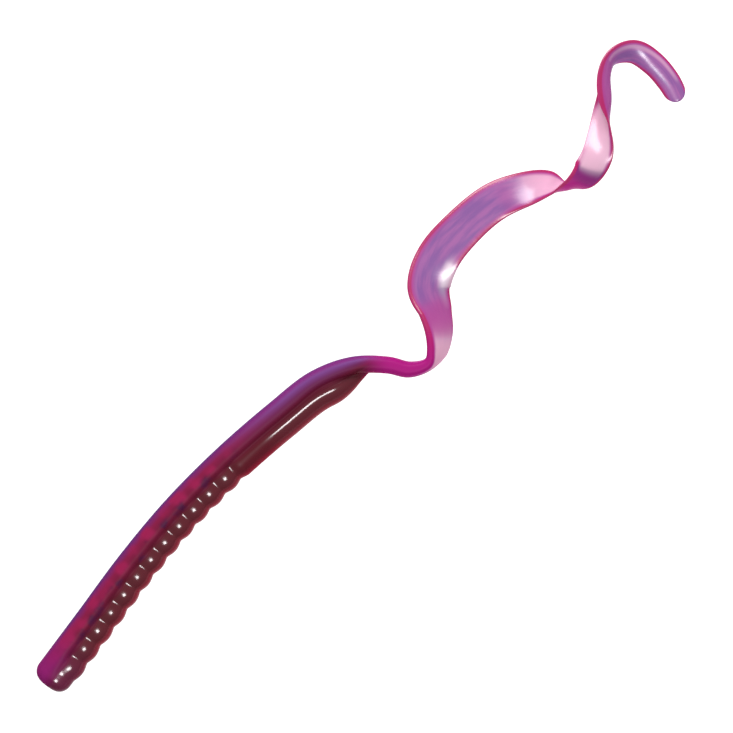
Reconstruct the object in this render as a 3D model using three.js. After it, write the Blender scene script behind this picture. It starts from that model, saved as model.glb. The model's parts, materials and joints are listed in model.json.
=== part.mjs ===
// Soft plastic worm: a ringed body whose flat back strip runs on as a long curled ribbon tail.
//
// The lure is one soft moulding that moves only by flexing. It is divided here at its flex
// lines: the nose, each ring, the smooth rear of the body and equal lengths of the ribbon.
// Every piece is a loft along one spine, which runs along the middle of the back strip.
// Millimetres. +X runs from the nose to the tail tip, +Y is the back's side, +Z is up.
import * as THREE from 'three';

// Driving dimensions of the body.
const BODY_HEIGHT = 8.8;
const STRIP_WIDTH = 8.8;
const STRIP_THICKNESS = 3.6;
const SKIRT = 1;
const SKIRT_END = 98;
const SKIRT_TAPER = 16;
const KEEL_WIDTH = 7.4;
const KEEL_HEIGHT = 6.6;
const NECK_WIDTH = 6.2;
const NOSE_LENGTH = 4;
const NOSE_ROUND = 2.7;
const RING_COUNT = 12;
const RING_PITCH = 4.8;
const GROOVE_DEPTH = 0.6;
const REAR_COUNT = 4;
const REAR_LENGTH = 9.6;
const KEEL_TAPER = 11;

// Driving dimensions of the ribbon and the flex lines.
const RIBBON_COUNT = 11;
const RIM_GAP = 0.9;
const RIBBON_GAP = 0.44;
const KNUCKLE_RADIUS = 2.0;
const KNUCKLE_GAP = 0.3;
const TIP_ROUND = 2.6;

// Worked out from the dimensions above.
const RINGS_END = NOSE_LENGTH + RING_COUNT * RING_PITCH;
const BODY_END = RINGS_END + REAR_COUNT * REAR_LENGTH;
const BACK = STRIP_THICKNESS / 2;
const HINGE_DEPTH = BODY_HEIGHT / 2 - BACK;

// Stations along the spine: [x, y, z], twist of the width about the spine in degrees (0 stands
// the width upright), width, thickness, and bow, how far the middle of the ribbon cups out of
// the line between its edges.
const STATIONS = [
  { at: [-95, -5.1, 4.4], twist: 0, width: 8.8, thick: 3.6, bow: 0 },
  { at: [-79, -2, 4.4], twist: 0, width: 8.8, thick: 3.6, bow: 0 },
  { at: [-64, 1, 4.4], twist: 0, width: 8.8, thick: 3.6, bow: 0 },
  { at: [-49, 3.1, 4.4], twist: 0, width: 8.8, thick: 3.6, bow: 0 },
  { at: [-34, 3.9, 4.4], twist: 0, width: 8.8, thick: 3.6, bow: 0 },
  { at: [-19, 3.6, 4.4], twist: 0, width: 8.8, thick: 3.6, bow: 0 },
  { at: [-8, 2.7, 4.4], twist: 0, width: 8.8, thick: 3.6, bow: 0 },
  { at: [0, -0.7, 4.4], twist: 0, width: 8.8, thick: 3.8, bow: 0 },
  { at: [5.6, -5.7, 4.4], twist: 0, width: 8.8, thick: 3.7, bow: 0 },
  { at: [8.4, -9.5, 4.4], twist: 0, width: 8.8, thick: 3.5, bow: 0 },
  { at: [12.3, -11.4, 4.5], twist: 4, width: 8.8, thick: 2.7, bow: 0 },
  { at: [15.2, -10.7, 4.7], twist: 23, width: 9, thick: 2.3, bow: 0 },
  { at: [18.4, -7.9, 4.9], twist: 37, width: 9.2, thick: 2.1, bow: 0 },
  { at: [20.9, -3.9, 5.1], twist: 49, width: 9.4, thick: 1.7, bow: 0 },
  { at: [23.3, 0.8, 5.3], twist: 73, width: 9.7, thick: 1.3, bow: 0 },
  { at: [29, 4.1, 5.4], twist: 90, width: 9.4, thick: 1, bow: 0 },
  { at: [37, 5.3, 5.4], twist: 90, width: 8.8, thick: 1, bow: 0 },
  { at: [46, 4.9, 5.1], twist: 92, width: 8.4, thick: 1, bow: 0 },
  { at: [53, 2.3, 4.8], twist: 110, width: 8, thick: 1, bow: 0.5 },
  { at: [57.5, -0.3, 4.6], twist: 138, width: 7.8, thick: 1, bow: 1.8 },
  { at: [60.5, -2.6, 4.6], twist: 185, width: 7.6, thick: 1, bow: 1.8 },
  { at: [64, -3.8, 4.4], twist: 236, width: 7.4, thick: 1, bow: 0.8 },
  { at: [68.5, -2.8, 4], twist: 264, width: 6.9, thick: 0.9, bow: 0 },
  { at: [73, 0.6, 3.6], twist: 308, width: 6, thick: 0.9, bow: -1.4 },
  { at: [77.5, 5.4, 3.4], twist: 357, width: 5.7, thick: 0.9, bow: -2.7 },
  { at: [82, 9.6, 3.2], twist: 376, width: 5.6, thick: 0.9, bow: -1.8 },
  { at: [86, 10.8, 2.9], twist: 393, width: 5.5, thick: 0.9, bow: -0.6 },
  { at: [90, 8.7, 2.3], twist: 422, width: 5.4, thick: 0.9, bow: -0.6 },
  { at: [91.6, 4.2, 1.6], twist: 448, width: 5.4, thick: 0.9, bow: -0.8 },
  { at: [91.6, -1, 1], twist: 452, width: 5.2, thick: 0.8, bow: -0.8 },
  { at: [90.5, -5.8, 0.7], twist: 452, width: 4.6, thick: 0.8, bow: -0.6 },
];

const UP = new THREE.Vector3(0, 0, 1);
const spine = new THREE.CatmullRomCurve3(STATIONS.map((station) => new THREE.Vector3(...station.at)));
spine.arcLengthDivisions = 2000;
const LENGTH = spine.getLength();

// One station value, such as the width, at a distance along the spine, on a Catmull-Rom curve.
function valueAlong(key, distance) {
  const place = spine.getUtoTmapping(distance / LENGTH) * (STATIONS.length - 1);
  const from = Math.min(Math.floor(place), STATIONS.length - 2);
  const near = [from - 1, from, from + 1, from + 2].map((index) => {
    return STATIONS[THREE.MathUtils.clamp(index, 0, STATIONS.length - 1)][key];
  });
  const [before, start, end, after] = near;
  const part = place - from;
  const slopeIn = (end - before) / 2;
  const slopeOut = (after - start) / 2;
  const cubic = 2 * (start - end) + slopeIn + slopeOut;
  const square = 3 * (end - start) - 2 * slopeIn - slopeOut;
  return start + part * (slopeIn + part * (square + part * cubic));
}

// The spine's frame at a distance from the nose: origin, forward, width and thickness directions.
function frameAt(distance) {
  const place = spine.getUtoTmapping(distance / LENGTH);
  const forward = spine.getTangent(place);
  const left = new THREE.Vector3().crossVectors(UP, forward).normalize();
  const upright = new THREE.Vector3().crossVectors(forward, left);
  const twist = THREE.MathUtils.degToRad(valueAlong('twist', distance));
  const width = upright.clone().multiplyScalar(Math.cos(twist)).addScaledVector(left, Math.sin(twist));
  const thickness = left.clone().multiplyScalar(Math.cos(twist)).addScaledVector(upright, -Math.sin(twist));
  return { origin: spine.getPoint(place), forward, width, thickness };
}

// A point at a distance along the spine, out along the thickness and the width directions.
function pointAt(distance, out, across) {
  const frame = frameAt(distance);
  return frame.origin.addScaledVector(frame.thickness, out).addScaledVector(frame.width, across);
}

// A closed loft. rows holds, for each row of the section, its first and last distance along the
// spine. pairAt(row, distance) gives the row's two outline points, each as [out, across].
function loft(rows, steps, pairAt) {
  const positions = [];
  const ringSize = rows.length * 2;
  for (let step = 0; step <= steps; step += 1) {
    const pairs = rows.map(([start, end], row) => {
      const distance = THREE.MathUtils.lerp(start, end, step / steps);
      return pairAt(row, distance).map(([out, across]) => pointAt(distance, out, across));
    });
    const ring = [...pairs.map((pair) => pair[0]), ...pairs.map((pair) => pair[1]).reverse()];
    ring.forEach((point) => positions.push(...point.toArray()));
  }
  const indices = [];
  for (let step = 0; step < steps; step += 1) {
    for (let corner = 0; corner < ringSize; corner += 1) {
      const next = (corner + 1) % ringSize;
      const here = step * ringSize;
      const there = here + ringSize;
      indices.push(here + corner, there + corner, here + next);
      indices.push(here + next, there + corner, there + next);
    }
  }
  const last = steps * ringSize;
  for (let row = 0; row + 1 < rows.length; row += 1) {
    const far = ringSize - 1 - row;
    indices.push(row, row + 1, far, far, row + 1, far - 1);
    indices.push(last + row, last + far, last + row + 1, last + far, last + far - 1, last + row + 1);
  }
  const geometry = new THREE.BufferGeometry();
  geometry.setAttribute('position', new THREE.Float32BufferAttribute(positions, 3));
  geometry.setIndex(indices);
  geometry.computeVertexNormals();
  return geometry;
}

// How far the keel has risen towards the back strip: 0 along the body, 1 where it ends.
function keelRise(distance) {
  return Math.max(0, (distance - (BODY_END - KEEL_TAPER)) / KEEL_TAPER) ** 2.2;
}

// Depth of the grooves between the rings, 0 at each ring's crest and along the smooth rear.
function grooveAt(distance) {
  if (distance > RINGS_END + RING_PITCH / 2) return 0;
  const phase = Math.max(0, distance - NOSE_LENGTH) / RING_PITCH;
  return GROOVE_DEPTH * (1 - Math.abs(Math.sin(Math.PI * phase)));
}

// Size of the section against its full size, which shrinks where the nose rounds over to its face.
function noseScale(distance) {
  const left = Math.max(0, NOSE_ROUND - distance);
  const inset = NOSE_ROUND - Math.sqrt(NOSE_ROUND ** 2 - left ** 2);
  return 1 - inset / (BODY_HEIGHT / 2);
}

// Heights of the body's section rows, as fractions from the belly (0) to the back (1).
const KNUCKLE_ROWS = [0.5, 0.9, 1].map((share) => (share * KNUCKLE_RADIUS * 1.03) / BODY_HEIGHT);
const BODY_ROWS = [
  ...[0, 0.05, 0.14],
  ...KNUCKLE_ROWS.map((offset) => 0.5 - offset).reverse(),
  0.5,
  ...KNUCKLE_ROWS.map((offset) => 0.5 + offset),
  ...[0.85, 0.95, 1],
];

// Belly height and back height of the body's section, out from the spine.
function bodySpan(distance) {
  const rise = (BODY_HEIGHT - STRIP_THICKNESS) * keelRise(distance);
  return [BACK - BODY_HEIGHT + grooveAt(distance) + rise, BACK];
}

// How much further the strip reaches towards the keel than its own thickness.
function skirtAt(distance) {
  return SKIRT * THREE.MathUtils.clamp((SKIRT_END - distance) / SKIRT_TAPER, 0, 1);
}

// Half the width of the body at a height out from the spine: strip over neck over round keel.
function bodyHalfWidth(distance, out) {
  const [belly] = bodySpan(distance);
  const shrink = 1 - keelRise(distance);
  const groove = grooveAt(distance);
  const keelHalf = Math.max(0.3, (KEEL_HEIGHT / 2 - groove) * shrink);
  const keelMiddle = belly + keelHalf;
  const fromKeel = Math.min(1, Math.abs(out - keelMiddle) / keelHalf);
  const keelAcross = Math.max(0.3, (KEEL_WIDTH / 2 - groove) * shrink);
  const keel = keelAcross * Math.sqrt(1 - 0.93 * fromKeel ** 2);
  const skirt = skirtAt(distance);
  const fromStrip = Math.min(1, Math.abs(out + skirt / 2) / (BACK + skirt / 2));
  const strip = (STRIP_WIDTH / 2) * (1 - 0.42 * fromStrip ** 4);
  const neck = (NECK_WIDTH / 2) * shrink;
  if (out > -BACK - skirt) return Math.max(strip, neck);
  return out > keelMiddle ? Math.max(keel, neck) : keel;
}

// A body piece between two flex lines. A round knuckle on its rear end sits in a socket in the
// front end of the next piece.
function bodyPiece(start, end, hasSocket, hasKnuckle) {
  const rows = BODY_ROWS.map((share) => {
    const height = Math.abs(share - 0.5) * BODY_HEIGHT;
    const socket = Math.sqrt(Math.max(0, (KNUCKLE_RADIUS + KNUCKLE_GAP) ** 2 - height ** 2));
    const knuckle = height < KNUCKLE_RADIUS ? Math.sqrt(KNUCKLE_RADIUS ** 2 - height ** 2) : -RIM_GAP / 2;
    const front = hasSocket ? Math.max(socket, RIM_GAP / 2) : 0;
    return [start + front, end + (hasKnuckle ? knuckle : -RIBBON_GAP / 2)];
  });
  const steps = end - start > RING_PITCH ? 5 : 4;
  return loft(rows, steps, (row, distance) => {
    const [belly, back] = bodySpan(distance);
    const out = THREE.MathUtils.lerp(belly, back, BODY_ROWS[row]);
    const scale = noseScale(distance);
    const height = (out + HINGE_DEPTH) * scale - HINGE_DEPTH;
    const half = bodyHalfWidth(distance, out) * scale;
    return [[height, half], [height, -half]];
  });
}

// Places of the ribbon's section rows, as fractions of half its width, and how much of its full
// thickness it has there.
const RIBBON_ROWS = [[1, 0.5], [0.8, 1], [0.3, 0.9], [-0.3, 0.9], [-0.8, 1], [-1, 0.5]];

// A length of ribbon between two flex lines, rounded off at the tail tip.
function ribbonPiece(start, end, isTip) {
  const rows = RIBBON_ROWS.map(([share]) => {
    const tip = isTip ? TIP_ROUND * (1 - Math.sqrt(1 - (0.95 * share) ** 2)) : RIBBON_GAP / 2;
    return [start + RIBBON_GAP / 2, end - tip];
  });
  const steps = isTip ? 8 : 6;
  return loft(rows, steps, (row, distance) => {
    const [share, fullness] = RIBBON_ROWS[row];
    const across = (share * valueAlong('width', distance)) / 2;
    const half = (fullness * valueAlong('thick', distance)) / 2;
    const cup = valueAlong('bow', distance) * (2 / 3 - share ** 2);
    return [[cup + half, across], [cup - half, across]];
  });
}

const bodyPlastic = new THREE.MeshStandardMaterial({ color: 0x6e2133, roughness: 0.28, metalness: 0 });
const nosePlastic = new THREE.MeshStandardMaterial({ color: 0x9c1f63, roughness: 0.28, metalness: 0 });
const ribbonPlastic = new THREE.MeshStandardMaterial({ color: 0xa85aa5, roughness: 0.22, metalness: 0 });

const worm = new THREE.Group();

// Adds a named piece, with the flex line at its front as the hinge's centre and axis.
function add(name, geometry, material, hingeAt, hingeDepth) {
  const mesh = new THREE.Mesh(geometry, material);
  mesh.name = name;
  if (hingeAt > 0) {
    const axis = frameAt(hingeAt).width.toArray();
    mesh.userData.hinge = { centre: pointAt(hingeAt, -hingeDepth, 0).toArray(), axis };
  }
  worm.add(mesh);
}

function numbered(name, number) {
  return `${name}_${String(number).padStart(2, '0')}`;
}

add('nose', bodyPiece(0, NOSE_LENGTH, false, true), nosePlastic, 0, 0);
for (let ring = 0; ring < RING_COUNT; ring += 1) {
  const start = NOSE_LENGTH + ring * RING_PITCH;
  const piece = bodyPiece(start, start + RING_PITCH, true, true);
  add(numbered('ring', ring + 1), piece, bodyPlastic, start, HINGE_DEPTH);
}
for (let section = 0; section < REAR_COUNT; section += 1) {
  const start = RINGS_END + section * REAR_LENGTH;
  const isLast = section === REAR_COUNT - 1;
  const piece = bodyPiece(start, start + REAR_LENGTH, true, !isLast);
  add(numbered('rear_body', section + 1), piece, bodyPlastic, start, HINGE_DEPTH);
}
const ribbonLength = (LENGTH - BODY_END) / RIBBON_COUNT;
for (let section = 0; section < RIBBON_COUNT; section += 1) {
  const start = BODY_END + section * ribbonLength;
  const isTip = section === RIBBON_COUNT - 1;
  const piece = ribbonPiece(start, isTip ? LENGTH : start + ribbonLength, isTip);
  add(numbered('ribbon', section + 1), piece, ribbonPlastic, start, 0);
}

// The frame's origin is under the middle of the worm's box, on the surface it lies on.
const box = new THREE.Box3().setFromObject(worm);
const middle = box.getCenter(new THREE.Vector3());
worm.position.set(-middle.x, -middle.y, -box.min.z);

export default worm;
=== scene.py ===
import json
import math

import bpy
import numpy as np
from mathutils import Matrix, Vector

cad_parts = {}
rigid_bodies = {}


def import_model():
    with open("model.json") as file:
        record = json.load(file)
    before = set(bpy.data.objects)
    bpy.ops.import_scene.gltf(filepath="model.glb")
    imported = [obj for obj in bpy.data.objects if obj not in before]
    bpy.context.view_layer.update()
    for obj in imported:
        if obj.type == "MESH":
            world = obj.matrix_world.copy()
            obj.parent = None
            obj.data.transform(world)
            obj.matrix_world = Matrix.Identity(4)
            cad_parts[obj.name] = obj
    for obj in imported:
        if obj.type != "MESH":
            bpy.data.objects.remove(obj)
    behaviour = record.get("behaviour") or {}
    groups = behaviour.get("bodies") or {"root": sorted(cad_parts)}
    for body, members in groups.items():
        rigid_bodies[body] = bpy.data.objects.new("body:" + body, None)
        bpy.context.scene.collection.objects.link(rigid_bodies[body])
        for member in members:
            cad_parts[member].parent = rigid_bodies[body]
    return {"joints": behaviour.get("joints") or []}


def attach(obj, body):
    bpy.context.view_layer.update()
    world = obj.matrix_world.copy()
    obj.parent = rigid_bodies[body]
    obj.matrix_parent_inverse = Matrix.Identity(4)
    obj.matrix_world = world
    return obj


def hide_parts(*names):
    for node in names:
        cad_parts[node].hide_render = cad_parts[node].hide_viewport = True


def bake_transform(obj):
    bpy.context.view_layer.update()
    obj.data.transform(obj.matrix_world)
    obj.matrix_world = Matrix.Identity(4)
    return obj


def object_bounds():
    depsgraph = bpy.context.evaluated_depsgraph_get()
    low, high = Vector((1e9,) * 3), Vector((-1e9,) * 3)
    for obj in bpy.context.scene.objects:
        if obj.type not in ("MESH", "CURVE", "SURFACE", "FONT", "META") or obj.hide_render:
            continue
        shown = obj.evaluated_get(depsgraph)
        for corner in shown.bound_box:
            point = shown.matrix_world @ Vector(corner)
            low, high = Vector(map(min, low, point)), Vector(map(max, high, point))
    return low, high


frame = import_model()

CAD_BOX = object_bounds()
MM = 0.001

# ---------------------------------------------------------------- dimensions

# The worm's own dimensions, in millimetres: the same ones that the CAD pieces are made from. The
# flex lines of the body lie HINGE_DEPTH below the middle of its back strip.
BODY_HEIGHT = 8.8
STRIP_THICKNESS = 3.6
BACK = STRIP_THICKNESS / 2
HINGE_DEPTH = BODY_HEIGHT / 2 - BACK

# The keel under the strip, its least half height, and how it rises into the strip at the rear.
KEEL_WIDTH = 7.4
KEEL_HEIGHT = 6.6
KEEL_LEAST = 0.05
KEEL_TAPER = 11
KEEL_RISE_POWER = 2.2

# The neck between strip and keel: its least half height, and how far it runs past their middles.
NECK_LEAST = 0.5
NECK_OVERLAP = 1

# How far the strip's lower side reaches down round the keel, and where that dies out.
SKIRT = 1
SKIRT_END = 98
SKIRT_TAPER = 16

# Roundness of the sections, as the power of their ovals: 2 is an ellipse, and more is squarer.
STRIP_POWER = 3.2
HEAD_POWER = 2.3
NECK_POWER = 2
JOIN_POWER = 8

# The keel's roundness and the neck's width, which change between two distances.
CREST_POWERS = ((60, 2), (72, 1.7))
NECK_WIDTHS = ((60, 7), (72, 6.2))

# The nose: its section turns from a plain oval to strip and keel between the HEAD_ROUND places.
HEAD_ROUND = (2, 8)
NOSE_LENGTH = 4
NOSE_ROUND = 2.7

# The rings, with rounded grooves between them, and the smooth rear of the body.
RING_COUNT = 12
RING_PITCH = 4.8
GROOVE_DEPTH = 0.6
GROOVE_ROUND = 0.02
REAR_COUNT = 4
REAR_LENGTH = 9.6
RINGS_END = NOSE_LENGTH + RING_COUNT * RING_PITCH
BODY_END = RINGS_END + REAR_COUNT * REAR_LENGTH

# The ribbon tail. Its tip is rounded in width by TIP_ROUND and in thickness by TIP_EDGE, and ends
# TIP_LEAST short of a point. Where it is bowed, its middle lies out by BOW_MIDDLE of the bow.
RIBBON_COUNT = 11
TIP_ROUND = 2.6
TIP_EDGE = 0.5
TIP_LEAST = 0.0001
BOW_MIDDLE = 2 / 3

# Fineness of the skin. TANGENT_STEP is a share of the spine, and distances are rounded to DIGITS
# decimals, so that every cut has a section of its own.
HALF_SECTION = 48
OUTLINE_SAMPLES = 400
SPINE_SAMPLES = 2000
NOSE_STEPS = 14
NOSE_REST_STEPS = 6
RING_STEPS = 20
REAR_STEPS = 22
RIBBON_STEPS = 28
TIP_STEPS = 14
TANGENT_STEP = 0.0001
DIGITS = 6
TINY = 1e-12

# Points along the middle of the back strip: x, y, z, twist of the width about the spine in
# degrees, width, thickness, and bow (how far the ribbon's middle cups out of its edges).
TWIST, WIDTH, THICK, BOW = 3, 4, 5, 6
STATIONS = np.array([
    [-95, -5.1, 4.4, 0, 8.8, 3.6, 0],
    [-79, -2, 4.4, 0, 8.8, 3.6, 0],
    [-64, 1, 4.4, 0, 8.8, 3.6, 0],
    [-49, 3.1, 4.4, 0, 8.8, 3.6, 0],
    [-34, 3.9, 4.4, 0, 8.8, 3.6, 0],
    [-19, 3.6, 4.4, 0, 8.8, 3.6, 0],
    [-8, 2.7, 4.4, 0, 8.8, 3.6, 0],
    [0, -0.7, 4.4, 0, 8.8, 3.8, 0],
    [5.6, -5.7, 4.4, 0, 8.8, 3.7, 0],
    [8.4, -9.5, 4.4, 0, 8.8, 3.5, 0],
    [12.3, -11.4, 4.5, 4, 8.8, 2.7, 0],
    [15.2, -10.7, 4.7, 23, 9, 2.3, 0],
    [18.4, -7.9, 4.9, 37, 9.2, 2.1, 0],
    [20.9, -3.9, 5.1, 49, 9.4, 1.7, 0],
    [23.3, 0.8, 5.3, 73, 9.7, 1.3, 0],
    [29, 4.1, 5.4, 90, 9.4, 1, 0],
    [37, 5.3, 5.4, 90, 8.8, 1, 0],
    [46, 4.9, 5.1, 92, 8.4, 1, 0],
    [53, 2.3, 4.8, 110, 8, 1, 0.5],
    [57.5, -0.3, 4.6, 138, 7.8, 1, 1.8],
    [60.5, -2.6, 4.6, 185, 7.6, 1, 1.8],
    [64, -3.8, 4.4, 236, 7.4, 1, 0.8],
    [68.5, -2.8, 4, 264, 6.9, 0.9, 0],
    [73, 0.6, 3.6, 308, 6, 0.9, -1.4],
    [77.5, 5.4, 3.4, 357, 5.7, 0.9, -2.7],
    [82, 9.6, 3.2, 376, 5.6, 0.9, -1.8],
    [86, 10.8, 2.9, 393, 5.5, 0.9, -0.6],
    [90, 8.7, 2.3, 422, 5.4, 0.9, -0.6],
    [91.6, 4.2, 1.6, 448, 5.4, 0.9, -0.8],
    [91.6, -1, 1, 452, 5.2, 0.8, -0.8],
    [90.5, -5.8, 0.7, 452, 4.6, 0.8, -0.6],
])
SPANS = len(STATIONS) - 1


# ---------------------------------------------------------------- the spine

def cubic_between(start, end, slope_in, slope_out, t):
    """The cubic from start to end with the given slopes at its two ends."""
    square = 3 * (end - start) - 2 * slope_in - slope_out
    cubic = 2 * (start - end) + slope_in + slope_out
    return start + t * (slope_in + t * (square + t * cubic))


def spine_point(place):
    """Points of the centripetal Catmull-Rom spine, for places from 0 to 1 along it."""
    line = STATIONS[:, :3]
    line = np.vstack([2 * line[0] - line[1], line, 2 * line[-1] - line[-2]])
    scaled = np.clip(np.asarray(place, float), 0, 1) * SPANS
    first = np.minimum(scaled.astype(int), SPANS - 1)
    before, start, end, after = (line[first + i] for i in range(4))
    gaps = [
        np.sqrt(np.linalg.norm(b - a, axis=1))[:, None]
        for a, b in ((before, start), (start, end), (end, after))
    ]
    slope_in = gaps[1] * (
        (start - before) / gaps[0]
        - (end - before) / (gaps[0] + gaps[1])
        + (end - start) / gaps[1]
    )
    slope_out = gaps[1] * (
        (end - start) / gaps[1]
        - (after - start) / (gaps[1] + gaps[2])
        + (after - end) / gaps[2]
    )
    return cubic_between(start, end, slope_in, slope_out, (scaled - first)[:, None])


PLACES = np.linspace(0, 1, SPINE_SAMPLES + 1)
STEP_LENGTHS = np.linalg.norm(np.diff(spine_point(PLACES), axis=0), axis=1)
LENGTHS = np.concatenate([[0], np.cumsum(STEP_LENGTHS)])
LENGTH = LENGTHS[-1]


def place_at(distance):
    return np.interp(distance, LENGTHS, PLACES)


def value_along(column, distance):
    """A station value, such as the width, at distances along the spine."""
    scaled = place_at(distance) * SPANS
    first = np.minimum(scaled.astype(int), SPANS - 1)
    values = STATIONS[:, column]
    before, start, end, after = (values[np.clip(first + i, 0, SPANS)] for i in (-1, 0, 1, 2))
    return cubic_between(start, end, (end - before) / 2, (after - start) / 2, scaled - first)


def value_at(column, distance):
    """A station value at one distance."""
    return value_along(column, np.array([distance]))[0]


def unit(vectors):
    return vectors / np.linalg.norm(vectors, axis=-1, keepdims=True)


def frames_at(distance):
    """Origin, width direction and thickness direction at each distance along the spine."""
    distance = np.atleast_1d(np.asarray(distance, float))
    place = place_at(distance)
    forward = unit(spine_point(place + TANGENT_STEP) - spine_point(place - TANGENT_STEP))
    left = unit(np.cross([0, 0, 1], forward))
    upright = np.cross(forward, left)
    twist = np.radians(value_along(TWIST, distance))[:, None]
    width = upright * np.cos(twist) + left * np.sin(twist)
    thickness = left * np.cos(twist) - upright * np.sin(twist)
    return spine_point(place), width, thickness


# The first flex line's place in the frame says where the frame's origin is from the spine's.
FIRST_ORIGIN, _, FIRST_OUT = (v[0] for v in frames_at(NOSE_LENGTH))
SHIFT = np.array(frame["joints"][0]["pos_m"]) / MM - (FIRST_ORIGIN - HINGE_DEPTH * FIRST_OUT)

# Flex lines, and the cuts between lengths of skin at the middle of each CAD piece.
RIBBON_LENGTH = (LENGTH - BODY_END) / RIBBON_COUNT
HINGES = np.concatenate([
    NOSE_LENGTH + RING_PITCH * np.arange(RING_COUNT),
    RINGS_END + REAR_LENGTH * np.arange(REAR_COUNT),
    BODY_END + RIBBON_LENGTH * np.arange(RIBBON_COUNT),
])
ENDS = np.concatenate([[0], HINGES, [LENGTH]])
CUTS = ((ENDS[:-1] + ENDS[1:]) / 2).round(DIGITS)


# ---------------------------------------------------------------- sections

def keel_rise(distance):
    """How far the keel has risen into the back strip: 0 along the body, 1 where it ends."""
    share = np.clip((distance - (BODY_END - KEEL_TAPER)) / KEEL_TAPER, 0, 1)
    return share ** KEEL_RISE_POWER


def groove_at(distance):
    """Depth of the grooves between the rings, 0 at each crest and past the last ring."""
    phase = max(0, distance - NOSE_LENGTH) / RING_PITCH
    depth = GROOVE_DEPTH * (1 - math.sqrt(math.sin(math.pi * phase) ** 2 + GROOVE_ROUND))
    return max(0, depth) if distance < RINGS_END + RING_PITCH / 2 else 0


def nose_scale(distance):
    """Size of the section against its full size, where the nose rounds over to its face."""
    left = max(0, NOSE_ROUND - distance)
    inset = NOSE_ROUND - math.sqrt(NOSE_ROUND ** 2 - left ** 2)
    return 1 - inset / (BODY_HEIGHT / 2)


def tip_scales(distance):
    """Shares of the full width and the full thickness that are left towards the tail tip."""
    left = max(LENGTH - distance, TIP_LEAST)
    width = math.sqrt(1 - (1 - min(1, left / TIP_ROUND)) ** 2)
    edge = math.sqrt(1 - (1 - min(1, left / TIP_EDGE)) ** 2)
    return width, edge


def oval(out, centre, half_height, half_width, power):
    """Half widths of a rounded bar at heights out, 0 above and below it."""
    share = np.clip(np.abs(out - centre) / half_height, 0, 1)
    return half_width * (1 - share ** power) ** (1 / power)


def keel_and_neck(distance, out, belly, groove, rise):
    """Half widths of the keel and of the neck that joins it to the strip, if there is a keel."""
    keel_half = (KEEL_HEIGHT / 2 - groove) * (1 - rise)
    if keel_half <= KEEL_LEAST:
        return []
    centre = belly + keel_half
    keel_width = (KEEL_WIDTH / 2 - groove) * (1 - rise)
    crest_power = np.interp(distance, *zip(*CREST_POWERS))
    neck_width = np.interp(distance, *zip(*NECK_WIDTHS)) * (1 - rise)
    neck_height = max(NECK_LEAST, -centre / 2 + NECK_OVERLAP)
    return [
        oval(out, centre, keel_half, keel_width, crest_power),
        oval(out, centre / 2, neck_height, neck_width / 2, NECK_POWER),
    ]


def body_half(distance, half_strip, half_width, spread):
    """Half of a body section: strip, neck and keel run into one, or a plain oval at the head."""
    rise = keel_rise(distance)
    groove = groove_at(distance)
    belly = BACK - BODY_HEIGHT + groove + (BODY_HEIGHT - STRIP_THICKNESS) * rise
    belly = min(belly, -half_strip)
    middle = (belly + half_strip) / 2
    half_height = (half_strip - belly) / 2
    out = middle + half_height * spread
    skirt = SKIRT * np.clip((SKIRT_END - distance) / SKIRT_TAPER, 0, 1)
    parts = [oval(out, -skirt / 2, half_strip + skirt / 2, half_width, STRIP_POWER)]
    parts += keel_and_neck(distance, out, belly, groove, rise)
    across = sum(part ** JOIN_POWER for part in parts) ** (1 / JOIN_POWER)
    head = oval(out, middle, half_height, half_width, HEAD_POWER)
    return out, across + (head - across) * np.interp(distance, HEAD_ROUND, (1, 0))


def half_outline(distance):
    """Half of the section, from the belly's middle round to the back's, as (out, across)."""
    half_strip = value_at(THICK, distance) / 2
    half_width = value_at(WIDTH, distance) / 2
    spread = np.cos(np.linspace(np.pi, 0, OUTLINE_SAMPLES))
    if distance < BODY_END:
        out, across = body_half(distance, half_strip, half_width, spread)
    else:
        out = half_strip * spread
        across = oval(out, 0, half_strip, half_width, STRIP_POWER)
    outline = np.stack([out, across], axis=1)
    outline[0, 1] = outline[-1, 1] = 0
    return outline


def resample(line, count):
    """The same line with count even steps along its length."""
    steps = np.linalg.norm(np.diff(line, axis=0), axis=1)
    run = np.concatenate([[0], np.cumsum(steps)])
    even = np.linspace(0, run[-1], count + 1)
    return np.stack([np.interp(even, run, line[:, i]) for i in range(2)], axis=1)


def section_at(distance):
    """The whole section as (out, across) points round it, with the height and side of each.

    Height runs from 0 at the belly to 1 at the back, and side from -1 to 1 across the width.
    """
    half = resample(half_outline(distance), HALF_SECTION)
    belly, back = half[0, 0], half[-1, 0]
    height = (half[:, 0] - belly) / (back - belly)
    scale = nose_scale(distance)
    half[:, 0] = (half[:, 0] + HINGE_DEPTH) * scale - HINGE_DEPTH
    width_left, thickness_left = tip_scales(distance)
    half[:, 1] *= scale * width_left
    half[:, 0] *= thickness_left
    other = half[-2:0:-1] * [1, -1]
    points = np.vstack([half, other])
    side = points[:, 1] / (value_at(WIDTH, distance) / 2)
    points[:, 0] += value_at(BOW, distance) * (BOW_MIDDLE - side ** 2)
    return points, np.concatenate([height, height[-2:0:-1]]), side


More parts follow.
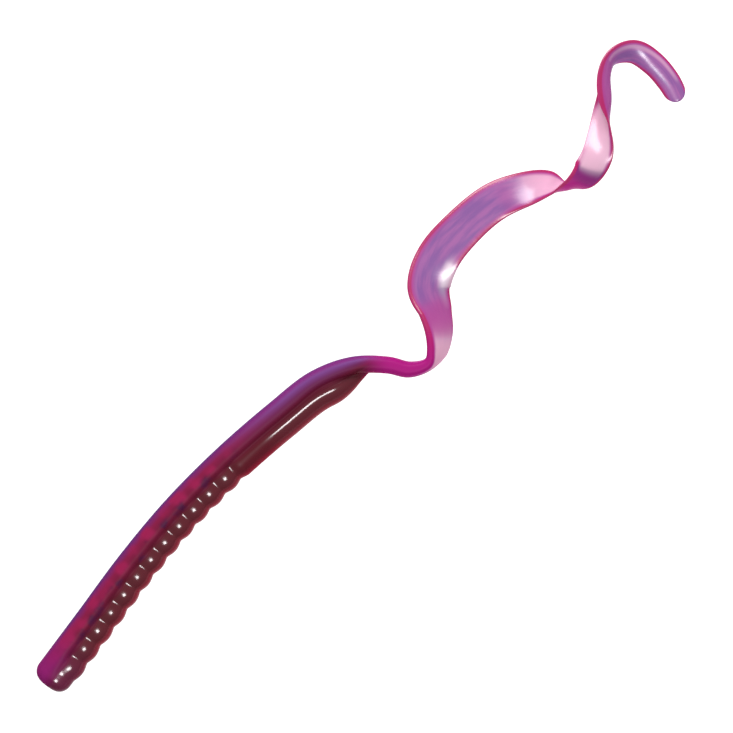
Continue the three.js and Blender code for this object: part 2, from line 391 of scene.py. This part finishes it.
def skin_distances():
    """Distances of the skin's sections, with a section at each flex line and each cut."""
    quarter = np.linspace(0, math.pi / 2, NOSE_STEPS + 1)
    runs = [NOSE_ROUND * (1 - np.cos(quarter))[:-1]]
    runs.append(np.linspace(NOSE_ROUND, NOSE_LENGTH, NOSE_REST_STEPS + 1)[:-1])
    runs.append(np.linspace(NOSE_LENGTH, RINGS_END, RING_COUNT * RING_STEPS + 1)[:-1])
    runs.append(np.linspace(RINGS_END, BODY_END, REAR_COUNT * REAR_STEPS + 1)[:-1])
    ribbon = np.linspace(BODY_END, LENGTH, RIBBON_COUNT * RIBBON_STEPS + 1)
    runs.append(ribbon[ribbon < LENGTH - TIP_ROUND])
    quarter = np.linspace(0, math.pi / 2, TIP_STEPS + 1)
    runs.append(LENGTH - TIP_ROUND * (1 - np.sin(quarter)))
    return np.unique(np.concatenate(runs + [CUTS]).round(DIGITS))


# ---------------------------------------------------------------- the skin

class Skin:
    """Every section of the skin as one grid of points, with their normals and places."""

    def __init__(self):
        self.distances = skin_distances()
        origins, widths, outs = frames_at(self.distances)
        points, heights, sides = [], [], []
        for index, distance in enumerate(self.distances):
            section, height, side = section_at(distance)
            offset = section[:, :1] * outs[index] + section[:, 1:] * widths[index]
            points.append(origins[index] + SHIFT + offset)
            heights.append(height)
            sides.append(side)
        self.points = np.array(points)
        self.heights = np.array(heights)
        self.sides = np.array(sides)
        self.normals = self.grid_normals()

    def grid_normals(self):
        """Smooth outward normals from the grid's own directions, so lengths meet unseen."""
        along = np.gradient(self.points, axis=0)
        around = np.roll(self.points, -1, axis=1) - np.roll(self.points, 1, axis=1)
        normals = np.cross(around, along)
        centre = self.points.mean(axis=1, keepdims=True)
        inward = ((self.points - centre) * normals).sum(axis=(1, 2)) < 0
        normals[inward] *= -1
        lengths = np.linalg.norm(normals, axis=2, keepdims=True)
        return normals / np.maximum(lengths, TINY)

    def row(self, distance):
        return int(np.argmin(np.abs(self.distances - distance)))


def add_value(mesh, name, values):
    """Stores one number for each vertex, for the materials to read."""
    attribute = mesh.attributes.new(name, "FLOAT", "POINT")
    attribute.data.foreach_set("value", values.astype(np.float32))


def mesh_length(skin, name, start, end):
    """The length of skin between two cuts as an object, closed where the worm ends."""
    first, last = skin.row(start), skin.row(end)
    grid = skin.points[first:last + 1] * MM
    rows, columns = grid.shape[:2]
    corners = np.arange(rows * columns).reshape(rows, columns)
    beside = np.roll(corners, -1, axis=1)
    quads = np.stack([corners[:-1], corners[1:], beside[1:], beside[:-1]], axis=2)
    faces = quads.reshape(-1, 4).tolist()
    if start == 0:
        faces.append(corners[0].tolist())
    if end == LENGTH:
        faces.append(corners[-1].tolist()[::-1])
    mesh = bpy.data.meshes.new(name)
    mesh.from_pydata(grid.reshape(-1, 3).tolist(), [], faces)
    mesh.update()
    mesh.polygons.foreach_set("use_smooth", [True] * len(faces))
    add_value(mesh, "along", np.repeat(skin.distances[first:last + 1], columns))
    add_value(mesh, "height", skin.heights[first:last + 1].ravel())
    add_value(mesh, "side", skin.sides[first:last + 1].ravel())
    mesh.normals_split_custom_set_from_vertices(
        skin.normals[first:last + 1].reshape(-1, 3).tolist()
    )
    skin_piece = bpy.data.objects.new(name, mesh)
    bpy.context.scene.collection.objects.link(skin_piece)
    return skin_piece


# ---------------------------------------------------------------- colours and gloss

# Tints of the plastic, and of the light and shade painted on it, as six hex digits.
NOSE_BELLY_TINT = "6e1c42"
NOSE_BACK_TINT = "942272"
PATCH_TINT = "a02052"
# Painted shade, mottled along the ridge where the strip meets the keel.
RIDGE_SHADE_TINT = "541a42"
MAGENTA = "b01c80"
CRIMSON = "bc266c"
DEEP_LILAC = "925ca6"
LILAC = "b068ae"
WARM_TINT = "ba4e9c"
# The next four are painted light on the ribbon: pale light shining through it and glancing off
# its turns, a highlight by one edge, a highlight streak by the tip, and pale light inside the
# second curl.
LIT_PALE_TINT = "f8bed8"
EDGE_HIGHLIGHT_TINT = "fdeaf6"
TIP_HIGHLIGHT_TINT = "f0b4d4"
CURL_LIGHT_TINT = "fcc8de"
NEAR_EDGE_TINT = "b8469a"
FOLD_TINT = "c41a8c"
FOLD_SHADE_TINT = "5a2874"

# Tints round the body, from its belly at 0 to its back at 1. In both ramps the crimson along the
# belly's middle line is a painted rim glow, and the purple along the back's middle line a painted
# reflection.
RING_TINTS_AND_RIM_LIGHT = (
    (0.0, "a8203e"), (0.07, "8c2034"), (0.14, "661a28"), (0.4, "601a26"), (0.48, "6a1c32"),
    (0.6, "76183a"), (0.8, "8c1e48"), (0.92, "7c2a6c"), (1.0, "5c307a"),
)
# On the rear, the dark plum at 0.46 is painted shade in the crease under the strip, and the lilac
# at 0.84 a painted sheen on the strip.
REAR_TINTS_AND_PAINTED_LIGHT = (
    (0.0, "a8203e"), (0.06, "8a2034"), (0.14, "6a1e2c"), (0.36, "641c2a"), (0.46, "5a1628"),
    (0.56, "701c3a"), (0.7, "70285a"), (0.84, "80468e"), (0.93, "86307e"), (1.0, "74307c"),
)

# A pair says where a share starts and where it is whole, so a share that falls has its larger
# number first. A band of four numbers says where a share starts, is whole, falls, and ends.
REAR_TINTS_START = (RINGS_END - 4, RINGS_END + 22)
MOTTLING_STOPS = (RINGS_END + 8, RINGS_END - 6)
NOSE_STOPS = (15, 0)
NOSE_HEIGHTS = (0.3, 0.75)
ROOT_START = (BODY_END - 3, BODY_END + 5)
TAIL_START = (BODY_END + 6, BODY_END + 12)

# Mottling of the rings: crimson patches on the back, which PATCH_SWAY gathers once to a ring, and
# painted shade, mottled along the ridge where the strip meets the keel.
PATCH_NOISE = 190
PATCH_LEVELS = (0.4, 0.68)
PATCH_SWAY = 0.1
PATCH_BAND = (0.56, 0.72, 0.86, 0.97)
RIDGE_NOISE = 310
RIDGE_LEVELS = (0.48, 0.7)
RIDGE_BAND = (0.42, 0.54, 0.6, 0.76)

# Long soft streaks in the ribbon's lilac.
STREAKS_ALONG = 0.09
STREAKS_ACROSS = 2.4
STREAK_NOISE = 1.6
STREAK_DETAIL = 4
STREAK_LEVELS = (0.34, 0.68)

# Where on the ribbon's section a tint or a painted light lies: by height from front to back, by
# side, or by rim, which is 0 at the ribbon's middle and 1 at both edges.
BACK_FACE = (0.3, 0.7)
EDGE_HIGHLIGHT_SIDE = (-0.25, -0.65)
LIT_EDGE_SIDE = (0.1, -0.1)
TIP_HIGHLIGHT_BAND = (0.3, 0.55, 0.65, 0.85)
NEAR_EDGE = (0.62, 0.84)
RIM = (0.8, 0.88)

# Distances between which the rim turns from magenta to crimson.
RIM_WARMS = (112, 124)

# Where the ribbon's colour changes, as distances along the spine with a share from 0 to 1:
# painted pale light where light shines through it and glances off it, tinted pink, thick and
# deep, painted pale light on the inside of the second curl, deep across the fold before it,
# painted shade where that fold opens, where painted light washes one edge free of its rim
# colour, a painted highlight by that edge, and a painted highlight streak beside the tip's edge.
# The fold lies slanted across the ribbon.
FOLD_SLANT = 1.6
LIT_PALE_PLACES = (
    (109, 0), (115, 0.9), (119, 0.7), (124, 0), (157, 0), (162, 0.6), (168, 0.85),
    (173, 0.8), (178, 0), (220, 0),
)
WARM_PLACES = (
    (119, 0), (122, 0.9), (127, 0.6), (131, 0), (154, 0), (158, 0.3), (162, 0),
    (182, 0), (187, 0.7), (198, 0.6), (205, 0), (220, 0),
)
THICK_PLACES = ((104, 1), (108, 0.95), (115, 0.15), (119, 0), (220, 0))
LIT_CURL = ((174.5, 0), (176.8, 0.85), (189, 0.8), (196, 0.4), (202, 0), (220, 0))
FOLD = ((163, 0), (166, 1), (174.4, 1), (176.4, 0), (220, 0))
FOLD_SHADE = ((168, 0), (172.5, 0.1), (175.3, 0.6), (176.6, 0.1), (178, 0), (220, 0))
LIT_EDGE = (
    (112, 0), (114, 0.9), (121, 0.6), (124, 0), (128, 0.1), (133, 0.8), (137, 0.7), (141, 0),
    (175, 0), (177, 0.8), (189, 0.8), (193, 0), (220, 0),
)
EDGE_HIGHLIGHT = ((125, 0), (130, 0.4), (134, 0.9), (137, 0.75), (141, 0), (220, 0))
TIP_HIGHLIGHT_STREAK = ((200, 0), (205, 0.5), (214, 0.6), (218, 0.1), (220, 0))

# Satin plastic scatters its reflections: all of the strip and of the ribbon's root, and the top
# of the keel just after the last ring.
SATIN_HEIGHTS = (0.38, 0.46)
SATIN_ROOT = (BODY_END - 4, BODY_END)
SATIN_STOPS = (BODY_END + 24, BODY_END + 18)
SATIN_KEEL_BAND = (RINGS_END - 2, RINGS_END + 3, RINGS_END + 8, RINGS_END + 16)
SATIN_KEEL_SIDE = (-0.1, 0.3)
SATIN_KEEL_SHARE = 0.86
SATIN_ROUGHNESS = 0.45
SATIN_GLOSS = 0.1

# Polished plastic, whose roughness and gloss change a little from the body to the tail. Gloss is
# strong where the surface faces the viewer and weak where it is seen at a slant.
POLISH_CHANGES = (BODY_END, BODY_END + 25)
ROUGHNESS = (0.18, 0.27)
GLOSS = (0.9, 1.1)
FACING_LEVELS = (0.08, 0.42)
FACING_GLOSS = (0.9, 0.04)

# Fine unevenness of the surface, with its depth in metres.
BUMP_NOISE = 900
BUMP_STRENGTH = 0.08
BUMP_DEPTH = 0.0002

WHITE = (1, 1, 1, 1)

# Where a new stop of a ramp or a new point of a curve stands until it gets its own place.
HALFWAY = 0.5


def linear(code):
    """A colour as the shader wants it, from six hex digits, by the sRGB curve."""
    channels = [int(code[i:i + 2], 16) / 255 for i in (0, 2, 4)]
    return [
        c / 12.92 if c <= 0.04045 else ((c + 0.055) / 1.055) ** 2.4 for c in channels
    ] + [1.0]


class Nodes:
    """Short ways to add and join a material's nodes."""

    def __init__(self, material):
        material.use_nodes = True
        self.tree = material.node_tree
        self.shader = self.tree.nodes["Principled BSDF"]

    def add(self, kind, **settings):
        node = self.tree.nodes.new(kind)
        for key, value in settings.items():
            setattr(node, key, value)
        return node

    def join(self, source, target):
        self.tree.links.new(source, target)

    def shade(self, name, source):
        """Gives one input of the shader a number, a colour or another node's output."""
        if isinstance(source, (int, float, tuple)):
            self.shader.inputs[name].default_value = source
        else:
            self.join(source, self.shader.inputs[name])

    def value(self, name):
        """A number that add_value has stored on the mesh."""
        return self.add("ShaderNodeAttribute", attribute_name=name).outputs["Fac"]

    def scaled(self, source, low, high, to_low=0, to_high=1, change="SMOOTHSTEP"):
        """A change from to_low, where source is low, to to_high, where it is high."""
        node = self.add("ShaderNodeMapRange", interpolation_type=change)
        self.join(source, node.inputs["Value"])
        node.inputs["From Min"].default_value = low
        node.inputs["From Max"].default_value = high
        node.inputs["To Min"].default_value = to_low
        node.inputs["To Max"].default_value = to_high
        return node.outputs["Result"]

    def band(self, source, start, whole, falls, end):
        """1 from whole to falls, and 0 before start and after end."""
        return self.product(self.scaled(source, start, whole), self.scaled(source, end, falls))

    def math(self, operation, first, second=0):
        node = self.add("ShaderNodeMath", operation=operation)
        for socket, source in zip(node.inputs, (first, second)):
            if isinstance(source, (int, float)):
                socket.default_value = source
            else:
                self.join(source, socket)
        return node.outputs[0]

    def product(self, first, *others):
        for other in others:
            first = self.math("MULTIPLY", first, other)
        return first

    def ramp(self, source, stops):
        """Colours at places from 0 to 1, with an even change between them."""
        node = self.add("ShaderNodeValToRGB")
        elements = node.color_ramp.elements
        while len(elements) < len(stops):
            elements.new(HALFWAY)
        for element, (position, code) in zip(elements, stops):
            element.position = position
            element.color = linear(code)
        self.join(source, node.inputs["Fac"])
        return node.outputs["Color"]

    def profile(self, source, points):
        """A curve through (distance, share) points along the ribbon."""
        node = self.add("ShaderNodeFloatCurve")
        curve = node.mapping.curves[0]
        while len(curve.points) < len(points):
            curve.points.new(HALFWAY, HALFWAY)
        for point, (distance, share) in zip(curve.points, points):
            point.location = ((distance - BODY_END) / (LENGTH - BODY_END), share)
        node.mapping.update()
        reach = self.scaled(source, BODY_END, LENGTH, change="LINEAR")
        self.join(reach, node.inputs["Value"])
        return node.outputs["Value"]

    def blend(self, share, first, second):
        """The first colour where share is 0, and the second where it is 1."""
        node = self.add("ShaderNodeMix", data_type="RGBA")
        self.join(share, node.inputs["Factor"])
        for socket, source in ((node.inputs["A"], first), (node.inputs["B"], second)):
            if isinstance(source, str):
                socket.default_value = linear(source)
            else:
                self.join(source, socket)
        return node.outputs["Result"]

    def noise(self, scale, place=None, detail=2):
        """Soft noise over the object's own coordinates, or over those given as place."""
        if place is None:
            place = self.add("ShaderNodeTexCoord").outputs["Object"]
        node = self.add("ShaderNodeTexNoise")
        self.join(place, node.inputs["Vector"])
        node.inputs["Scale"].default_value = scale
        node.inputs["Detail"].default_value = detail
        return node.outputs["Fac"]

    def streaks(self):
        """Long soft streaks that follow the ribbon."""
        place = self.add("ShaderNodeCombineXYZ")
        self.join(self.product(self.value("along"), STREAKS_ALONG), place.inputs["X"])
        self.join(self.product(self.value("side"), STREAKS_ACROSS), place.inputs["Y"])
        return self.noise(STREAK_NOISE, place.outputs["Vector"], STREAK_DETAIL)


def body_colour(nodes):
    """Dark wine plastic with a magenta back. The crimson belly line is a painted rim glow, the
    purple edge of the back a painted reflection, and the rear carries painted shade and sheen.
    """
    height = nodes.value("height")
    along = nodes.value("along")
    # The ramps hold painted light: a rim glow on the belly line, a reflection on the back's edge,
    # and on the rear shade in the crease and a sheen on the strip.
    rings = nodes.ramp(height, RING_TINTS_AND_RIM_LIGHT)
    rear = nodes.ramp(height, REAR_TINTS_AND_PAINTED_LIGHT)
    belt = nodes.blend(nodes.scaled(along, *REAR_TINTS_START), rings, rear)
    on_rings = nodes.scaled(along, *MOTTLING_STOPS)
    wave = nodes.math("SINE", nodes.product(along, 2 * math.pi / RING_PITCH))
    patches = nodes.math("ADD", nodes.product(wave, PATCH_SWAY), nodes.noise(PATCH_NOISE))
    on_back = nodes.product(nodes.band(height, *PATCH_BAND), on_rings)
    glow = nodes.product(nodes.scaled(patches, *PATCH_LEVELS), on_back)
    belt = nodes.blend(glow, belt, PATCH_TINT)
    # Painted shade, mottled along the ridge where the strip meets the keel.
    on_ridge = nodes.product(nodes.band(height, *RIDGE_BAND), on_rings)
    shade = nodes.product(nodes.scaled(nodes.noise(RIDGE_NOISE), *RIDGE_LEVELS), on_ridge)
    return nodes.blend(shade, belt, RIDGE_SHADE_TINT)


def ribbon_face(nodes, along, side):
    """The ribbon's lilac, deeper where it is thick, with painted pale light, a painted highlight
    by one edge and a painted highlight streak by the tip.
    """
    face = nodes.blend(nodes.scaled(nodes.streaks(), *STREAK_LEVELS), DEEP_LILAC, LILAC)
    face = nodes.blend(nodes.profile(along, WARM_PLACES), face, WARM_TINT)
    # Painted pale light, where light shines through the ribbon and glances off its turns.
    face = nodes.blend(nodes.profile(along, LIT_PALE_PLACES), face, LIT_PALE_TINT)
    face = nodes.blend(nodes.profile(along, THICK_PLACES), face, MAGENTA)
    # A painted highlight along one edge.
    edge_highlight = nodes.product(
        nodes.profile(along, EDGE_HIGHLIGHT), nodes.scaled(side, *EDGE_HIGHLIGHT_SIDE))
    face = nodes.blend(edge_highlight, face, EDGE_HIGHLIGHT_TINT)
    # A painted highlight streak beside the tip's edge.
    streak = nodes.product(nodes.band(side, *TIP_HIGHLIGHT_BAND), nodes.profile(along, TIP_HIGHLIGHT_STREAK))
    return nodes.blend(streak, face, TIP_HIGHLIGHT_TINT)


def ribbon_colour(nodes):
    """The ribbon's face, its folds, and both edges, where the colour gathers to magenta; the face
    carries painted pale light in the second curl and painted shade where the fold opens.
    """
    along = nodes.value("along")
    side = nodes.value("side")
    rim = nodes.math("ABSOLUTE", side)
    back_face = nodes.scaled(nodes.value("height"), *BACK_FACE)
    slanted = nodes.math("SUBTRACT", along, nodes.product(side, FOLD_SLANT))
    face = ribbon_face(nodes, along, side)
    # Painted pale light on the inside of the second curl.
    pale = nodes.product(nodes.profile(slanted, LIT_CURL), back_face)
    face = nodes.blend(pale, face, CURL_LIGHT_TINT)
    # Where painted light washes one edge, that edge keeps no rim colour.
    lit_edge = nodes.product(nodes.profile(along, LIT_EDGE), nodes.scaled(side, *LIT_EDGE_SIDE))
    coloured = nodes.math("SUBTRACT", 1, lit_edge)
    near = nodes.product(nodes.scaled(rim, *NEAR_EDGE), coloured)
    face = nodes.blend(near, face, NEAR_EDGE_TINT)
    fold = nodes.product(nodes.profile(slanted, FOLD), back_face)
    face = nodes.blend(fold, face, FOLD_TINT)
    shade = nodes.product(nodes.profile(slanted, FOLD_SHADE), back_face)
    face = nodes.blend(shade, face, FOLD_SHADE_TINT)
    edge_tint = nodes.blend(nodes.scaled(along, *RIM_WARMS), MAGENTA, CRIMSON)
    return nodes.blend(nodes.product(nodes.scaled(rim, *RIM), coloured), face, edge_tint)


def worm_colour(nodes, along):
    """Magenta at the nose, wine along the body, magenta at the root, then lilac ribbon."""
    nose_heights = nodes.scaled(nodes.value("height"), *NOSE_HEIGHTS)
    nose = nodes.blend(nose_heights, NOSE_BELLY_TINT, NOSE_BACK_TINT)
    body = nodes.blend(nodes.scaled(along, *NOSE_STOPS), body_colour(nodes), nose)
    root = nodes.blend(nodes.scaled(along, *ROOT_START), body, MAGENTA)
    return nodes.blend(nodes.scaled(along, *TAIL_START), root, ribbon_colour(nodes))


def satin_share(nodes, along):
    """1 where the surface scatters its reflections, and 0 where it is polished."""
    strip = nodes.scaled(nodes.value("height"), *SATIN_HEIGHTS)
    strip_and_root = nodes.math("MAXIMUM", strip, nodes.scaled(along, *SATIN_ROOT))
    satin = nodes.product(strip_and_root, nodes.scaled(along, *SATIN_STOPS))
    on_top = nodes.scaled(nodes.value("side"), *SATIN_KEEL_SIDE)
    keel = nodes.product(nodes.band(along, *SATIN_KEEL_BAND), SATIN_KEEL_SHARE, on_top)
    return nodes.math("MAXIMUM", satin, keel)


def worm_gloss(nodes, along, satin):
    """How strongly the surface reflects."""
    facing = nodes.add("ShaderNodeLayerWeight").outputs["Facing"]
    return nodes.product(
        nodes.scaled(facing, *FACING_LEVELS, *FACING_GLOSS),
        nodes.scaled(satin, 0, 1, 1, SATIN_GLOSS),
        nodes.scaled(along, *POLISH_CHANGES, *GLOSS),
    )


def fine_bump(nodes):
    """The surface's direction, made slightly uneven."""
    bump = nodes.add("ShaderNodeBump")
    bump.inputs["Strength"].default_value = BUMP_STRENGTH
    bump.inputs["Distance"].default_value = BUMP_DEPTH
    nodes.join(nodes.noise(BUMP_NOISE), bump.inputs["Height"])
    return bump.outputs["Normal"]


def worm_plastic(name):
    """The worm's plastic, alike in every slot: its looks follow the place along the spine."""
    material = bpy.data.materials.new(name)
    nodes = Nodes(material)
    along = nodes.value("along")
    satin = satin_share(nodes, along)
    polished = nodes.scaled(along, *POLISH_CHANGES, *ROUGHNESS)
    scattering = nodes.scaled(satin, 0, 1, 0, SATIN_ROUGHNESS)
    nodes.shade("Base Color", worm_colour(nodes, along))
    nodes.shade("Roughness", nodes.math("MAXIMUM", polished, scattering))
    nodes.shade("Specular IOR Level", worm_gloss(nodes, along, satin))
    nodes.shade("Normal", fine_bump(nodes))
    return material


# ---------------------------------------------------------------- the worm


def build_worm():
    """A riding length at each end, and a length across every flex line, bound to neither body."""
    skin = Skin()
    bodies = [frame["joints"][0]["parent"]] + [joint["child"] for joint in frame["joints"]]
    slots = ["nose_plastic", "body_plastic", "ribbon_plastic"]
    plastics = {slot: worm_plastic(slot) for slot in slots}
    bounds = np.concatenate([[0], CUTS, [LENGTH]])
    for index in range(len(bounds) - 1):
        before = bodies[max(0, index - 1)]
        after = bodies[min(index, len(bodies) - 1)]
        name = "skin_tail_tip" if index == len(bodies) else f"skin_{after}"
        piece = mesh_length(skin, name, bounds[index], bounds[index + 1])
        slot = slots[0] if index == 0 else slots[2] if "ribbon" in before else slots[1]
        piece.data.materials.append(plastics[slot])
        if before == after:
            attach(piece, after)
        else:
            blend_ends(piece, skin, bounds[index], bounds[index + 1])
        if index < len(bodies):
            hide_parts(bodies[index])


def blend_ends(piece, skin, start, end):
    """Bakes the length's placement into its mesh; its end rows are found but not used, and
    nothing bends it.
    """
    first = skin.points[skin.row(start)] * MM
    last = skin.points[skin.row(end)] * MM
    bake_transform(piece)


# ---------------------------------------------------------------- setting

# The camera looks straight down, turned so that the body runs from low left to upper right. It
# stands over CAMERA_AIM and sees VIEW_WIDTH, both in metres, at half the worm's height.
CAMERA_TURN = math.radians(42.2)
CAMERA_AIM = (0.00218, -0.00257)
VIEW_WIDTH = 0.15713
LENS = 135
SENSOR = 36

# The white floor lies well below the worm, clear of the lowest place that the bent tail reaches,
# so that it never cuts a pose off.
FLOOR_DROP = 0.055
FLOOR_HALF = 1.5
FLOOR_COLOUR = (0.9, 0.9, 0.9, 1)
FLOOR_ROUGHNESS = 0.9
FLOOR_GLOW = 0.45
SKY_GLOW = 0.22

# Soft square lights, in metres and watts, placed by the directions of the picture.
LIGHTS = {
    "top_soft": {"right": -0.08, "up": 0.62, "height": 0.52, "size": 0.5, "power": 4.6},
    "low_right_spark": {"right": 0.15, "up": -0.27, "height": 0.76, "size": 0.2, "power": 2.6},
}


def image_direction(right, up):
    """A direction across the picture as one in the frame's plane."""
    across = Vector((math.cos(CAMERA_TURN), -math.sin(CAMERA_TURN), 0))
    upward = Vector((math.sin(CAMERA_TURN), math.cos(CAMERA_TURN), 0))
    return across * right + upward * up


def add_camera():
    data = bpy.data.cameras.new("camera")
    data.lens = LENS
    data.sensor_width = SENSOR
    camera = bpy.data.objects.new("camera", data)
    middle = (CAD_BOX[0].z + CAD_BOX[1].z) / 2
    camera.location = (*CAMERA_AIM, middle + VIEW_WIDTH * LENS / SENSOR)
    camera.rotation_euler = (0, 0, -CAMERA_TURN)
    bpy.context.scene.collection.objects.link(camera)
    bpy.context.scene.camera = camera


def add_light(name, right, up, height, size, power):
    """A square soft light at a place given across the picture, aimed at the worm."""
    data = bpy.data.lights.new(name, "AREA")
    data.size = size
    data.energy = power
    light = bpy.data.objects.new(name, data)
    light.location = image_direction(right, up) + Vector((0, 0, height))
    light.rotation_euler = (-light.location).to_track_quat("-Z", "Y").to_euler()
    bpy.context.scene.collection.objects.link(light)


def add_floor():
    half = FLOOR_HALF
    corners = [(-half, -half, 0), (half, -half, 0), (half, half, 0), (-half, half, 0)]
    mesh = bpy.data.meshes.new("floor")
    mesh.from_pydata(corners, [], [(0, 1, 2, 3)])
    floor = bpy.data.objects.new("floor", mesh)
    floor.location.z = -FLOOR_DROP
    material = bpy.data.materials.new("floor_white")
    nodes = Nodes(material)
    nodes.shade("Base Color", FLOOR_COLOUR)
    nodes.shade("Roughness", FLOOR_ROUGHNESS)
    nodes.shade("Emission Color", WHITE)
    nodes.shade("Emission Strength", FLOOR_GLOW)
    mesh.materials.append(material)
    bpy.context.scene.collection.objects.link(floor)


def add_world():
    world = bpy.data.worlds.new("studio")
    world.use_nodes = True
    background = world.node_tree.nodes["Background"]
    background.inputs["Color"].default_value = WHITE
    background.inputs["Strength"].default_value = SKY_GLOW
    bpy.context.scene.world = world


def add_studio():
    bpy.context.scene.view_settings.view_transform = "Standard"
    add_camera()
    add_world()
    add_floor()
    for name, settings in LIGHTS.items():
        add_light(name, **settings)


add_studio()
build_worm()
